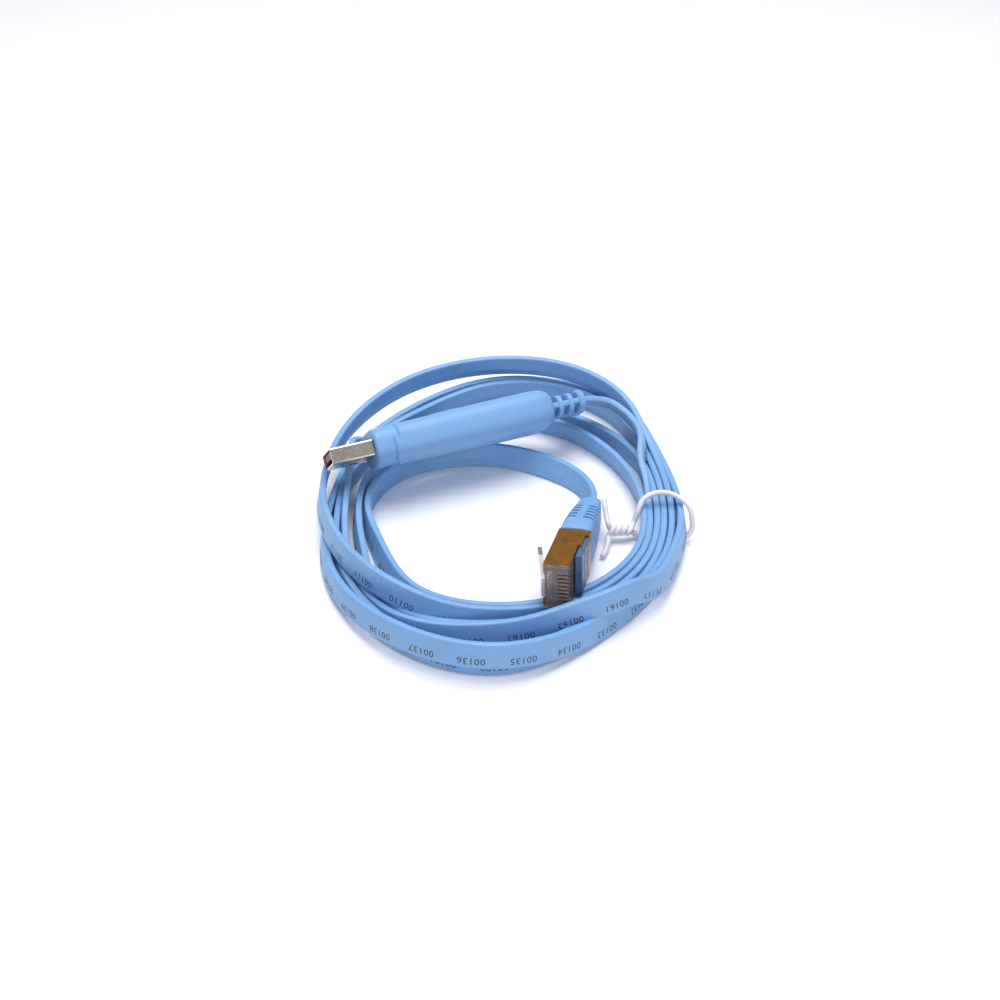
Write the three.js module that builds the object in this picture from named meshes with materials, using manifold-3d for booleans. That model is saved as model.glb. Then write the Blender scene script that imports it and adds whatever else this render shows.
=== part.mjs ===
// A console cable: a flat cord wound on its edge into a loose coil, with a USB-A plug on one end,
// a shielded RJ45 plug on the other, and a plastic-coated wire tie round the coil.
// Millimetres, +Z up. The origin is on the floor at the middle of the coil, and the tie is on the +X side.

import * as THREE from 'three';
import { mergeVertices } from 'three/addons/utils/BufferGeometryUtils.js';
import Module from 'manifold-3d';

const wasm = await Module();
wasm.setup();

// Clearances
const SEAT_GAP = 0.3;
const BLADE_GAP = 0.15;

// Flat cord
const CORD_WIDTH = 7.0;
const CORD_THICKNESS = 1.8;
const CORD_CHAMFER = 0.5;
const CORD_LEAN = THREE.MathUtils.degToRad(12);
const STEP_LENGTH = 8;

// Coil: radii of the middles of its innermost and outermost turns, every 30 degrees from +X towards +Y
const INNER_TURN = [40.2, 39.6, 40.6, 41.4, 40.4, 38.6, 36.2, 37.0, 43.0, 44.3, 44.6, 43.2];
const OUTER_TURN = [50.8, 53.0, 60.2, 61.3, 58.2, 53.4, 50.8, 51.6, 58.6, 61.3, 55.4, 53.6];
const LANES = 6;
const LANE_GROOVE = 0.7;
const COIL_SEGMENTS = 44;
const COIL_HEIGHT = CORD_WIDTH * Math.cos(CORD_LEAN) + CORD_THICKNESS * Math.sin(CORD_LEAN);

// The turn that lies on top of the others: its radius every 20 degrees, from its first angle backwards
const TOP_TURN_FROM = 240;
const TOP_TURN_STEP = -20;
const TOP_TURN = [49.2, 49.0, 50.0, 51.3, 51.8, 52.8, 55.0, 57.4, 58.4, 57.0];

// Wire tie
const TIE_ANGLE = THREE.MathUtils.degToRad(-11);
const TIE_WIDTH = 1.7;
const TIE_THICKNESS = 1.0;
const TIE_HUMP_REACH = THREE.MathUtils.degToRad(24);
const TIE_KNOT_LENGTH = 6;
const TIE_KNOT_RADIUS = 2.2;
const TIE_KNOT_HEIGHT = 3.6;
const TIE_TAILS = [
  [[-3.4, -1.5, 4.8], [-4.4, -1.6, 6.8], [-5.4, 1.8, 9.6]],
  [[-3.0, -2.5, 3.0], [-3.4, -7, 1.8], [-4.2, -13, 1.2]],
];

// USB plug: middle of the relief's rear face, middle of the mouth, and how far it has rolled over
const USB_REAR = new THREE.Vector3(23.4, 32.7, 15.3);
const USB_MOUTH = new THREE.Vector3(-46.6, 2.1, 17.2);
const USB_ROLL = THREE.MathUtils.degToRad(-135);
const SHELL_WIDTH = 12.0;
const SHELL_HEIGHT = 4.5;
const SHELL_WALL = 0.35;
const SHELL_CORNER = 0.6;
const SHELL_LENGTH = 12.3;
const WINDOW_LENGTH = 2.3;
const WINDOW_WIDTH = 2.2;
const WINDOW_SPACING = 5.6;
const WINDOW_FROM_MOUTH = 6.2;
const TONGUE_THICKNESS = 1.8;
const TONGUE_SETBACK = 0.6;
const CONTACT_WIDTH = 1.2;
const CONTACT_LENGTH = 8.0;
const CONTACT_THICKNESS = 0.3;
const CONTACT_PROUD = 0.1;
const CONTACT_OFFSETS = [-3.5, -1.0, 1.0, 3.5];
const GRIP_WIDTH = 16;
const GRIP_HEIGHT = 10;
const GRIP_CORNER = 3.8;
const COLLAR_LENGTH = 5.6;
const COLLAR_SHRINK = 0.4;
const COLLAR_ROUND = 0.8;
const GROOVE_LENGTH = 1.0;
const GROOVE_DEPTH = 0.6;
const GRIP_START = 10;
const GRIP_SHOULDER = 6;
const RELIEF_RING_LENGTH = 2.0;
const RELIEF_PITCH = 3.3;
const RELIEF_WIDTH = 11.4;
const RELIEF_HEIGHT = 6.4;
const RELIEF_CORE_WIDTH = 8.0;
const RELIEF_CORE_HEIGHT = 2.8;
const RELIEF_CORE_CORNER = 1.0;
const RELIEF_CORNER = 2.4;
const RELIEF_FLARE = 1.08;
const RELIEF_LINK = 1.5;
const RELIEF_LINK_SUNK = 0.1;

// RJ45 plug: middle of the boot's rear face, middle of the nose, and how far it has rolled over
const RJ45_REAR = new THREE.Vector3(25.8, -4.0, 4.5);
const RJ45_NOSE = new THREE.Vector3(14.6, -46.4, 14.9);
const RJ45_ROLL = THREE.MathUtils.degToRad(95);
const PLUG_WIDTH = 11.7;
const PLUG_LATCH_SIDE = 3.9;
const PLUG_CONTACT_SIDE = 4.4;
const NOSE_CONTACT_SIDE = 2.6;
const SHIELD_WALL = 0.3;
const SHIELD_COLLAR = 2.6;
const SHIELD_STEP = 8.2;
const SHIELD_NARROW = 1.0;
const HOUSING_PAST_SHIELD = 1.17;
const BOOT_LENGTH = 24.0;
const BOOT_WIDTH = 12.4;
const BOOT_HEIGHT = 8.8;
const BOOT_CORNER = 1.6;
const BOOT_REAR_SCALE = 0.66;
const BOOT_SLOTS = 5;
const BOOT_SLOT_FIRST = 7.6;
const BOOT_SLOT_PITCH = 2.2;
const BOOT_SLOT_LENGTH = 0.8;
const BOOT_SLOT_DEPTH = 0.9;
const BOOT_RIB = 1.8;
const INSERT_LENGTH = 10.5;
const INSERT_HEIGHT = 1.7;
const INSERT_RIBS = 3;
const INSERT_GROOVE = 0.5;
const LATCH_WIDTH = 6.0;
const LATCH_THICKNESS = 1.2;
const LATCH_LENGTH = 15;
const LATCH_RISE = 4.2;
const CONTACTS = 8;
const CONTACT_PITCH = 1.02;
const BLADE_THICKNESS = 0.3;
const BLADE_DEPTH = 2.4;
const BLADE_LENGTH = 3.4;
const BLADE_SETBACK = 0.9;
const WIRE_DIAMETER = 0.72;
const WIRE_LENGTH = 14;
const WIRE_SETBACK = 1.0;
const WIRE_OFFSET = 2.1;

// Where the cord leaves the two plugs and reaches the coil
const CORD_ON_COIL = COIL_HEIGHT + SEAT_GAP + COIL_HEIGHT / 2;
const EXIT_STRAIGHT = 3;
const USB_LEAD = [
  [27.5, 34.2, 14.9], [32.4, 34.3, 14.0], [37.0, 31.2, 12.8], [40.6, 25.8, CORD_ON_COIL + 0.6],
  [42.9, 19.4, CORD_ON_COIL], [43.8, 13.6, CORD_ON_COIL],
];
const USB_LEAD_LEANS = [45, 40, 30, 20, 12, 12, 12];
const RJ45_LEAD = [
  [172, 34.2], [160, 33.2], [148, 31.4], [134, 28.6], [119, 25.8], [104, 23.8], [87, 22.4], [70, 21.8],
  [52, 22.2], [36, 23.6], [22, 25.2], [9, 26.4],
];
const RJ45_LEAD_LEANS = [10, 4, -6, -14, -17, -17, -17, -17, -17, -14, -10, -6, 0];

// Colours
const BLUE = 0x7fb2dc;
const GOLD = 0xc58a2c;

const plastic = (color, roughness = 0.5) => new THREE.MeshStandardMaterial({ color, roughness, metalness: 0 });
const metal = (color, roughness = 0.25) => new THREE.MeshStandardMaterial({ color, roughness, metalness: 1 });

function named(name, geometry, material) {
  const mesh = new THREE.Mesh(geometry, material);
  mesh.name = name;
  return mesh;
}

// A geometry whose faces share their corners
function joined(geometry) {
  geometry.deleteAttribute('normal');
  geometry.deleteAttribute('uv');
  return mergeVertices(geometry, 1e-4);
}

function solid(geometry) {
  const merged = joined(geometry);
  const vertProperties = new Float32Array(merged.attributes.position.array);
  const triVerts = new Uint32Array(merged.index.array);
  return new wasm.Manifold(new wasm.Mesh({ numProp: 3, vertProperties, triVerts }));
}

function geometryOf(body) {
  const { vertProperties, triVerts } = body.getMesh();
  const geometry = new THREE.BufferGeometry();
  geometry.setAttribute('position', new THREE.BufferAttribute(new Float32Array(vertProperties), 3));
  geometry.setIndex(new THREE.BufferAttribute(new Uint32Array(triVerts), 1));
  return geometry;
}

function union(geometries) {
  return geometries.map(solid).reduce((whole, next) => whole.add(next));
}

function cut(body, geometries) {
  return geometries.map(solid).reduce((whole, next) => whole.subtract(next), body);
}

// A box between two corners
function box(x0, x1, y0, y1, z0, z1) {
  return new THREE.BoxGeometry(x1 - x0, y1 - y0, z1 - z0).translate((x0 + x1) / 2, (y0 + y1) / 2, (z0 + z1) / 2);
}

function roundedRectangle(width, height, corner) {
  const x = width / 2 - corner;
  const y = height / 2 - corner;
  const shape = new THREE.Shape();
  shape.absarc(x, y, corner, 0, Math.PI / 2);
  shape.absarc(-x, y, corner, Math.PI / 2, Math.PI);
  shape.absarc(-x, -y, corner, Math.PI, 1.5 * Math.PI);
  shape.absarc(x, -y, corner, 1.5 * Math.PI, 2 * Math.PI);
  return shape;
}

// Turns a geometry drawn along Z into one along X, with its section's x across and its y upward
function alongX(geometry) {
  const across = new THREE.Vector3(0, 1, 0);
  const upward = new THREE.Vector3(0, 0, 1);
  const forward = new THREE.Vector3(1, 0, 0);
  return geometry.applyMatrix4(new THREE.Matrix4().makeBasis(across, upward, forward));
}

// A bar along X with a rounded section that is scaled at each of its stations
function loft(width, height, corner, stations, sides = 4) {
  const geometry = new THREE.ExtrudeGeometry(roundedRectangle(width, height, corner), {
    depth: stations.length - 1, steps: stations.length - 1, bevelEnabled: false, curveSegments: sides,
  });
  const position = geometry.attributes.position;
  for (let i = 0; i < position.count; i += 1) {
    const [at, wide, high] = stations[Math.round(position.getZ(i))];
    position.setXYZ(i, position.getX(i) * wide, position.getY(i) * high, at);
  }
  return alongX(geometry);
}

function bar(width, height, corner, from, to, sides = 4) {
  return loft(width, height, corner, [[from, 1, 1], [to, 1, 1]], sides);
}

// A value at an angle, on a smooth curve through values spaced evenly round the circle
function around(values, angle) {
  const place = (angle / (2 * Math.PI)) * values.length;
  const index = Math.floor(place);
  const t = place - index;
  const [a, b, c, d] = [-1, 0, 1, 2].map((k) => values.at((index + k) % values.length));
  return b + 0.5 * t * (c - a + t * (2 * a - 5 * b + 4 * c - d + t * (3 * (b - c) + d - a)));
}

// How far the turns rise to let the tie pass beneath them
function hump(angle) {
  const away = Math.abs(Math.atan2(Math.sin(angle - TIE_ANGLE), Math.cos(angle - TIE_ANGLE)));
  if (away > TIE_HUMP_REACH) return 0;
  return (TIE_THICKNESS + SEAT_GAP) * Math.cos((away / TIE_HUMP_REACH) * (Math.PI / 2)) ** 2;
}

// The wound turns: a turned ring with a ridge for each turn on both ends, drawn out to an oval
function coil() {
  const profile = [];
  const lane = 1 / LANES;
  for (let i = 0; i < LANES; i += 1) {
    profile.push(new THREE.Vector2(1 + (i + 0.12) * lane, 0));
    profile.push(new THREE.Vector2(1 + (i + 0.88) * lane, 0));
    if (i < LANES - 1) profile.push(new THREE.Vector2(1 + (i + 1) * lane, LANE_GROOVE));
  }
  for (let i = LANES - 1; i >= 0; i -= 1) {
    profile.push(new THREE.Vector2(1 + (i + 0.88) * lane, COIL_HEIGHT));
    profile.push(new THREE.Vector2(1 + (i + 0.12) * lane, COIL_HEIGHT));
    if (i > 0) profile.push(new THREE.Vector2(1 + i * lane, COIL_HEIGHT - LANE_GROOVE));
  }
  profile.push(profile[0].clone());
  const ring = joined(new THREE.LatheGeometry(profile, COIL_SEGMENTS).rotateX(Math.PI / 2));
  const position = ring.attributes.position;
  for (let i = 0; i < position.count; i += 1) {
    const angle = Math.atan2(position.getY(i), position.getX(i));
    const share = Math.hypot(position.getX(i), position.getY(i)) - 1;
    const inner = around(INNER_TURN, angle) - CORD_THICKNESS / 2;
    const outer = around(OUTER_TURN, angle) + CORD_THICKNESS / 2;
    const radius = inner + share * (outer - inner);
    position.setXYZ(i, radius * Math.cos(angle), radius * Math.sin(angle), position.getZ(i) + hump(angle));
  }
  return ring;
}

// The flat cord along a route, its width tipped from upright by the leans in degrees
function ribbon(points, leans) {
  const route = new THREE.CatmullRomCurve3(points, false, 'centripetal');
  const steps = Math.ceil(route.getLength() / STEP_LENGTH);
  const w = CORD_WIDTH / 2;
  const t = CORD_THICKNESS / 2;
  const section = new THREE.Shape([
    [t, w - CORD_CHAMFER], [t - CORD_CHAMFER, w], [CORD_CHAMFER - t, w], [-t, w - CORD_CHAMFER],
    [-t, CORD_CHAMFER - w], [CORD_CHAMFER - t, -w], [t - CORD_CHAMFER, -w], [t, CORD_CHAMFER - w],
  ].map(([x, y]) => new THREE.Vector2(x, y)));
  const geometry = new THREE.ExtrudeGeometry(section, { depth: steps, steps, bevelEnabled: false });
  const position = geometry.attributes.position;
  const up = new THREE.Vector3(0, 0, 1);
  for (let i = 0; i < position.count; i += 1) {
    const share = Math.round(position.getZ(i)) / steps;
    const tangent = route.getTangentAt(share);
    const place = share * (leans.length - 1);
    const before = Math.min(Math.floor(place), leans.length - 2);
    const lean = THREE.MathUtils.degToRad(THREE.MathUtils.lerp(leans[before], leans[before + 1], place - before));
    const level = new THREE.Vector3().crossVectors(tangent, up).normalize();
    const wide = new THREE.Vector3().crossVectors(level, tangent).applyAxisAngle(tangent, lean);
    const side = new THREE.Vector3().crossVectors(wide, tangent);
    const point = route.getPointAt(share);
    point.addScaledVector(side, position.getX(i)).addScaledVector(wide, position.getY(i));
    position.setXYZ(i, point.x, point.y, point.z);
  }
  return joined(geometry);
}

function polar(degrees, radius, height) {
  const angle = THREE.MathUtils.degToRad(degrees);
  return new THREE.Vector3(radius * Math.cos(angle), radius * Math.sin(angle), height);
}

function topTurn() {
  const points = TOP_TURN.map((radius, i) => polar(TOP_TURN_FROM + i * TOP_TURN_STEP, radius, CORD_ON_COIL));
  const lean = THREE.MathUtils.radToDeg(CORD_LEAN);
  return ribbon(points, [lean, lean]);
}

function usbLead() {
  const forward = USB_MOUTH.clone().sub(USB_REAR).normalize();
  const exit = [SEAT_GAP, EXIT_STRAIGHT].map((behind) => USB_REAR.clone().addScaledVector(forward, -behind));
  return ribbon([...exit, ...USB_LEAD.map((p) => new THREE.Vector3(...p))], USB_LEAD_LEANS);
}

function rj45Lead() {
  const forward = RJ45_NOSE.clone().sub(RJ45_REAR).normalize();
  const exit = [EXIT_STRAIGHT, SEAT_GAP].map((behind) => RJ45_REAR.clone().addScaledVector(forward, -behind));
  const level = COIL_HEIGHT / 2;
  return ribbon([...RJ45_LEAD.map(([angle, radius]) => polar(angle, radius, level)), ...exit], RJ45_LEAD_LEANS);
}

// The tie: a flat loop round the turns, its twist inside the coil and two free ends
function tie() {
  const inner = around(INNER_TURN, TIE_ANGLE) - CORD_THICKNESS / 2 - SEAT_GAP;
  const outer = around(OUTER_TURN, TIE_ANGLE) + CORD_THICKNESS / 2 + SEAT_GAP;
  const top = COIL_HEIGHT + TIE_THICKNESS + 2 * SEAT_GAP;
  const width = outer - inner + 2 * TIE_THICKNESS;
  const height = top + TIE_THICKNESS;
  const loop = roundedRectangle(width, height, 1.6);
  loop.holes.push(roundedRectangle(outer - inner, height - 2 * TIE_THICKNESS, 0.8));
  const band = new THREE.ExtrudeGeometry(loop, { depth: TIE_WIDTH, bevelEnabled: false, curveSegments: 3 });
  band.rotateX(Math.PI / 2).translate((inner + outer) / 2, TIE_WIDTH / 2, height / 2);
  const knotEnd = inner - TIE_KNOT_LENGTH;
  const knot = new THREE.CylinderGeometry(TIE_KNOT_RADIUS, TIE_KNOT_RADIUS, TIE_KNOT_LENGTH, 8);
  knot.rotateZ(Math.PI / 2).translate(knotEnd + TIE_KNOT_LENGTH / 2 - TIE_THICKNESS / 2, 0, TIE_KNOT_HEIGHT);
  const tails = TIE_TAILS.map((points) => {
    const start = new THREE.Vector3(knotEnd + 1, 0, TIE_KNOT_HEIGHT);
    const places = points.map(([x, y, z]) => new THREE.Vector3(knotEnd + x + 2, y, z));
    const path = new THREE.CatmullRomCurve3([start, ...places]);
    const wire = new THREE.Shape().absarc(0, 0, TIE_WIDTH / 2, 0, 2 * Math.PI);
    return new THREE.ExtrudeGeometry(wire, { steps: 6, extrudePath: path, curveSegments: 4 });
  });
  const whole = geometryOf(union([band, knot, ...tails]));
  return whole.rotateZ(TIE_ANGLE);
}

// USB plug, along X from the strain relief's rear to the mouth

const USB_LENGTH = USB_REAR.distanceTo(USB_MOUTH);
const COLLAR_FRONT = USB_LENGTH - SHELL_LENGTH;
const COLLAR_BACK = COLLAR_FRONT - COLLAR_LENGTH;
const GRIP_END = COLLAR_BACK - GROOVE_LENGTH;

function usbBody() {
  const groove = (size) => (size - 2 * GROOVE_DEPTH) / size;
  const collar = (size) => (size - COLLAR_SHRINK) / size;
  const shoulder = [[0, 0.66, 0.6], [0.08, 0.8, 0.76], [0.4, 0.93, 0.91], [1, 1, 1]];
  const grip = loft(GRIP_WIDTH, GRIP_HEIGHT, GRIP_CORNER, [
    ...shoulder.map(([share, wide, high]) => [GRIP_START + share * GRIP_SHOULDER, wide, high]),
    [(GRIP_START + GRIP_END) / 2, 1, 1], [GRIP_END, collar(GRIP_WIDTH), collar(GRIP_HEIGHT)],
  ]);
  const neck = bar(
    GRIP_WIDTH * groove(GRIP_WIDTH), GRIP_HEIGHT * groove(GRIP_HEIGHT), GRIP_CORNER - GROOVE_DEPTH,
    GRIP_END - GROOVE_LENGTH, COLLAR_BACK + GROOVE_LENGTH,
  );
  const front = loft(GRIP_WIDTH, GRIP_HEIGHT, GRIP_CORNER, [
    [COLLAR_BACK, collar(GRIP_WIDTH), collar(GRIP_HEIGHT)], [COLLAR_FRONT - COLLAR_ROUND, 0.96, 0.94],
    [COLLAR_FRONT, 0.88, 0.84],
  ]);
  const core = bar(RELIEF_CORE_WIDTH, RELIEF_CORE_HEIGHT, RELIEF_CORE_CORNER, 0, GRIP_START + GRIP_SHOULDER);
  const rings = [0, 1, 2].map((i) => {
    const flare = i === 0 ? RELIEF_FLARE : 1;
    const start = i * RELIEF_PITCH;
    const ends = [[start, flare, flare], [start + RELIEF_RING_LENGTH, 1, 1]];
    return loft(RELIEF_WIDTH, RELIEF_HEIGHT, RELIEF_CORNER, ends);
  });
  const links = [-1, 1].map((side) => {
    const z = side * (RELIEF_HEIGHT / 2 - RELIEF_LINK / 2 - RELIEF_LINK_SUNK);
    const half = RELIEF_LINK / 2;
    return box(RELIEF_RING_LENGTH / 2, GRIP_START + GRIP_SHOULDER / 2, -half, half, z - half, z + half);
  });
  return geometryOf(union([grip, neck, front, core, ...rings, ...links]));
}

function usbShell() {
  const from = COLLAR_FRONT + SEAT_GAP;
  const inside = bar(
    SHELL_WIDTH - 2 * SHELL_WALL, SHELL_HEIGHT - 2 * SHELL_WALL, SHELL_CORNER - SHELL_WALL,
    from - 1, USB_LENGTH + 1,
  );
  const windowEnd = USB_LENGTH - WINDOW_FROM_MOUTH;
  const windows = [-1, 1].map((side) => {
    const y = (side * WINDOW_SPACING) / 2;
    return box(
      windowEnd - WINDOW_LENGTH, windowEnd, y - WINDOW_WIDTH / 2, y + WINDOW_WIDTH / 2,
      -SHELL_HEIGHT, SHELL_HEIGHT,
    );
  });
  const outside = solid(bar(SHELL_WIDTH, SHELL_HEIGHT, SHELL_CORNER, from, USB_LENGTH));
  return geometryOf(cut(outside, [inside, ...windows]));
}

const TONGUE_FROM = COLLAR_FRONT + SEAT_GAP;
const TONGUE_TO = USB_LENGTH - TONGUE_SETBACK;
const TONGUE_BOTTOM = -SHELL_HEIGHT / 2 + SHELL_WALL + SEAT_GAP;
const TONGUE_TOP = TONGUE_BOTTOM + TONGUE_THICKNESS;
const CONTACT_TOP = TONGUE_TOP + CONTACT_PROUD;
const CONTACT_BOTTOM = CONTACT_TOP - CONTACT_THICKNESS;

function usbTongue() {
  const half = SHELL_WIDTH / 2 - SHELL_WALL - SEAT_GAP;
  const block = solid(box(TONGUE_FROM, TONGUE_TO, -half, half, TONGUE_BOTTOM, TONGUE_TOP));
  const slots = CONTACT_OFFSETS.map((y) => {
    const slotHalf = CONTACT_WIDTH / 2 + BLADE_GAP;
    return box(
      TONGUE_TO - CONTACT_LENGTH - SEAT_GAP - 1, TONGUE_TO - 1 + SEAT_GAP, y - slotHalf, y + slotHalf,
      CONTACT_BOTTOM - SEAT_GAP, TONGUE_TOP + 1,
    );
  });
  return geometryOf(cut(block, slots));
}

function usbContact(y) {
  const to = TONGUE_TO - 1;
  return box(to - CONTACT_LENGTH, to, y - CONTACT_WIDTH / 2, y + CONTACT_WIDTH / 2, CONTACT_BOTTOM, CONTACT_TOP);
}

// RJ45 plug, along X from the boot's rear to the nose; its latch is on +Z and its contacts on -Z

const RJ45_LENGTH = RJ45_REAR.distanceTo(RJ45_NOSE);
const SHIELD_FROM = BOOT_LENGTH + SEAT_GAP;
const SHIELD_TO = RJ45_LENGTH - HOUSING_PAST_SHIELD;
const HOUSING_HALF = PLUG_WIDTH / 2 - SHIELD_WALL - SEAT_GAP;
const HOUSING_TOP = PLUG_LATCH_SIDE - SHIELD_WALL - SEAT_GAP;

function boot() {
  const rear = BOOT_REAR_SCALE;
  const body = solid(loft(BOOT_WIDTH, BOOT_HEIGHT, BOOT_CORNER, [
    [0, rear, rear], [2, rear + 0.08, rear + 0.1], [BOOT_LENGTH * 0.75, 1, 0.97], [BOOT_LENGTH, 1, 1],
  ]));
  const slots = [];
  for (let i = 0; i < BOOT_SLOTS; i += 1) {
    const x = BOOT_SLOT_FIRST + i * BOOT_SLOT_PITCH;
    const half = (BOOT_WIDTH / 2) * THREE.MathUtils.mapLinear(x, 2, BOOT_LENGTH * 0.75, rear + 0.08, 1);
    for (const y of [half - BOOT_SLOT_DEPTH, -half - 1]) {
      for (const z of [BOOT_RIB / 2, -BOOT_RIB / 2 - BOOT_HEIGHT]) {
        slots.push(box(x, x + BOOT_SLOT_LENGTH, y, y + 1 + BOOT_SLOT_DEPTH, z, z + BOOT_HEIGHT));
      }
    }
  }
  return geometryOf(cut(body, slots));
}

// The shield: a collar all round behind, then a channel that is open on the contact side
function shield() {
  const y = PLUG_WIDTH / 2;
  const outside = solid(box(SHIELD_FROM, SHIELD_TO, -y, y, -PLUG_CONTACT_SIDE, PLUG_LATCH_SIDE));
  const collarEnd = SHIELD_FROM + SHIELD_COLLAR;
  const step = SHIELD_FROM + SHIELD_STEP;
  const inner = y - SHIELD_WALL;
  const hollow = box(
    SHIELD_FROM - 1, SHIELD_TO + 1, -inner, inner, SHIELD_WALL - PLUG_CONTACT_SIDE, PLUG_LATCH_SIDE - SHIELD_WALL,
  );
  const openSide = box(
    collarEnd, SHIELD_TO + 1, -y - 1, y + 1, -PLUG_CONTACT_SIDE - 1, -PLUG_CONTACT_SIDE + SHIELD_NARROW,
  );
  const openFront = box(step, SHIELD_TO + 1, -y - 1, y + 1, -PLUG_CONTACT_SIDE - 1, -NOSE_CONTACT_SIDE);
  const latchNotch = box(
    SHIELD_FROM + SHIELD_COLLAR, SHIELD_TO + 1, -LATCH_WIDTH / 2 - SEAT_GAP, LATCH_WIDTH / 2 + SEAT_GAP,
    PLUG_LATCH_SIDE - 2 * SHIELD_WALL, PLUG_LATCH_SIDE + 1,
  );
  return geometryOf(cut(outside, [hollow, openSide, openFront, latchNotch]));
}

const bladeAt = (i) => (i - (CONTACTS - 1) / 2) * CONTACT_PITCH;

function housing() {
  const nose = RJ45_LENGTH;
  const shelf = -NOSE_CONTACT_SIDE;
  const inShield = box(SHIELD_FROM + SEAT_GAP, nose, -HOUSING_HALF, HOUSING_HALF, shelf, HOUSING_TOP);
  const atNose = box(SHIELD_TO + SEAT_GAP, nose, -PLUG_WIDTH / 2, PLUG_WIDTH / 2, shelf, HOUSING_TOP);
  const arm = box(-LATCH_LENGTH, 0, -LATCH_WIDTH / 2, LATCH_WIDTH / 2, 0, LATCH_THICKNESS);
  arm.rotateY(Math.asin(LATCH_RISE / LATCH_LENGTH)).translate(nose - 0.6, 0, HOUSING_TOP - 0.3);
  const wireSpan = ((CONTACTS - 1) * CONTACT_PITCH + WIRE_DIAMETER) / 2 + SEAT_GAP;
  const wireSpace = box(
    SHIELD_FROM - 1, nose - WIRE_SETBACK + SEAT_GAP, -wireSpan, wireSpan,
    WIRE_OFFSET - WIRE_DIAMETER / 2 - SEAT_GAP, WIRE_OFFSET + WIRE_DIAMETER / 2 + SEAT_GAP,
  );
  const bladeSlots = [];
  for (let i = 0; i < CONTACTS; i += 1) {
    const half = BLADE_THICKNESS / 2 + BLADE_GAP;
    bladeSlots.push(box(
      nose - BLADE_SETBACK - BLADE_LENGTH - SEAT_GAP, nose + 1, bladeAt(i) - half, bladeAt(i) + half,
      shelf - 1, shelf + BLADE_DEPTH + SEAT_GAP,
    ));
  }
  return geometryOf(cut(union([inShield, atNose, arm]), [wireSpace, ...bladeSlots]));
}

function insert() {
  const from = SHIELD_FROM + SHIELD_COLLAR + SEAT_GAP;
  const top = -NOSE_CONTACT_SIDE - SEAT_GAP;
  const block = solid(box(from, from + INSERT_LENGTH, -HOUSING_HALF, HOUSING_HALF, top - INSERT_HEIGHT, top));
  const pitch = INSERT_LENGTH / INSERT_RIBS;
  const grooves = [];
  for (let i = 1; i < INSERT_RIBS; i += 1) {
    const x = from + i * pitch;
    grooves.push(box(
      x - INSERT_GROOVE / 2, x + INSERT_GROOVE / 2, -PLUG_WIDTH, PLUG_WIDTH,
      top - INSERT_HEIGHT - 1, top - INSERT_HEIGHT + INSERT_GROOVE,
    ));
  }
  return geometryOf(cut(block, grooves));
}

function blade(i) {
  const to = RJ45_LENGTH - BLADE_SETBACK;
  const y = bladeAt(i);
  const z = -NOSE_CONTACT_SIDE;
  return box(to - BLADE_LENGTH, to, y - BLADE_THICKNESS / 2, y + BLADE_THICKNESS / 2, z, z + BLADE_DEPTH);
}

function wire(i) {
  const to = RJ45_LENGTH - WIRE_SETBACK;
  const rod = new THREE.CylinderGeometry(WIRE_DIAMETER / 2, WIRE_DIAMETER / 2, WIRE_LENGTH, 8);
  return rod.rotateZ(-Math.PI / 2).translate(to - WIRE_LENGTH / 2, bladeAt(i), WIRE_OFFSET);
}

// Places a plug's own frame, its X towards the mouth or nose
function pose(group, rear, front, roll) {
  const x = front.clone().sub(rear).normalize();
  const level = new THREE.Vector3(0, 0, 1).cross(x).normalize();
  const y = level.applyAxisAngle(x, roll);
  const z = new THREE.Vector3().crossVectors(x, y);
  group.quaternion.setFromRotationMatrix(new THREE.Matrix4().makeBasis(x, y, z));
  group.position.copy(rear);
  return group;
}

const cable = new THREE.Group();

cable.add(named('cable_coil', coil(), plastic(BLUE)));
cable.add(named('cable_top_turn', topTurn(), plastic(BLUE)));
cable.add(named('cable_usb_lead', usbLead(), plastic(BLUE)));
cable.add(named('cable_rj45_lead', rj45Lead(), plastic(BLUE)));
cable.add(named('twist_tie', tie(), plastic(0xe4e0e4, 0.6)));

const usb = pose(new THREE.Group(), USB_REAR, USB_MOUTH, USB_ROLL);
usb.add(named('usb_body', usbBody(), plastic(BLUE)));
usb.add(named('usb_shell', usbShell(), metal(0xe6dccb)));
usb.add(named('usb_tongue', usbTongue(), plastic(0x6a3a2c)));
CONTACT_OFFSETS.forEach((y, i) => {
  usb.add(named(`usb_contact_${i + 1}`, usbContact(y), metal(0xd9a24a)));
});
cable.add(usb);

const rj45 = pose(new THREE.Group(), RJ45_REAR, RJ45_NOSE, RJ45_ROLL);
rj45.add(named('rj45_boot', boot(), plastic(BLUE)));
rj45.add(named('rj45_shield', shield(), metal(GOLD)));
rj45.add(named('rj45_housing', housing(), plastic(0xe8dcd8, 0.15)));
rj45.add(named('rj45_insert', insert(), plastic(0x5f7790, 0.4)));
const WIRE_COLOURS = [0xc23a2e, 0x2c4a8c, 0xb8322a, 0x3f8a4a, 0xd8c84a, 0x5a4bb0, 0x8a3f78, 0xd8cfc4];
WIRE_COLOURS.forEach((colour, i) => {
  rj45.add(named(`rj45_contact_${i + 1}`, blade(i), metal(0xd99a4a)));
  rj45.add(named(`rj45_wire_${i + 1}`, wire(i), plastic(colour)));
});
cable.add(rj45);

export default cable;
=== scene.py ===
from math import atan2, ceil, cos, exp, pi, radians, sin, sqrt

import bmesh
import bpy
import numpy as np
from mathutils import Matrix, Vector


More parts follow.
